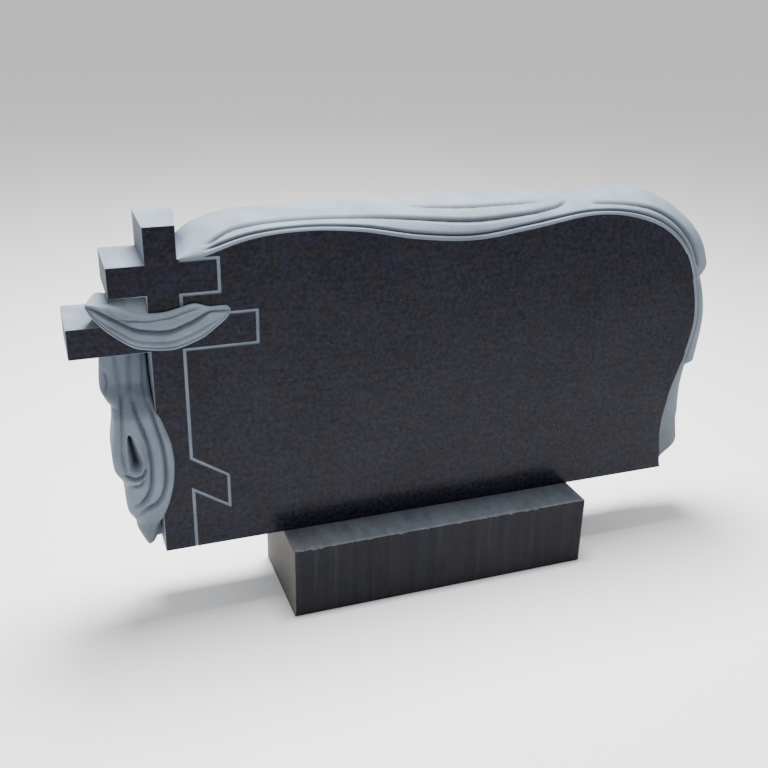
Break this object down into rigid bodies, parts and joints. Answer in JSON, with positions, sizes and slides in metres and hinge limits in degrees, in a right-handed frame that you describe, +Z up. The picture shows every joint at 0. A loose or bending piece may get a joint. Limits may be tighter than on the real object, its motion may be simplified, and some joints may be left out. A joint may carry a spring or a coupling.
{
  "type": "headstone",
  "caption": "Wide black granite headstone with a barred cross at its left end and carved drapery over its top and sides, on a low rectangular plinth.",
  "frame": {"origin": "on the ground under the plinth, in the middle of the whole object's length and depth", "axes": "+X along the slab to the viewer's right, +Y from the polished face to the back, +Z up"},
  "size_m": [1.2146, 0.202, 0.708],
  "materials": {
    "polished_granite": "polished black granite face, with the carved cloth, edges and engraved lines left frosted grey",
    "honed_granite": "honed black granite front, duller top and rough brownish sawn end"
  },
  "bodies": {
    "root": {"headstone_slab": "polished_granite", "plinth": "honed_granite"}
  },
  "joints": []
}
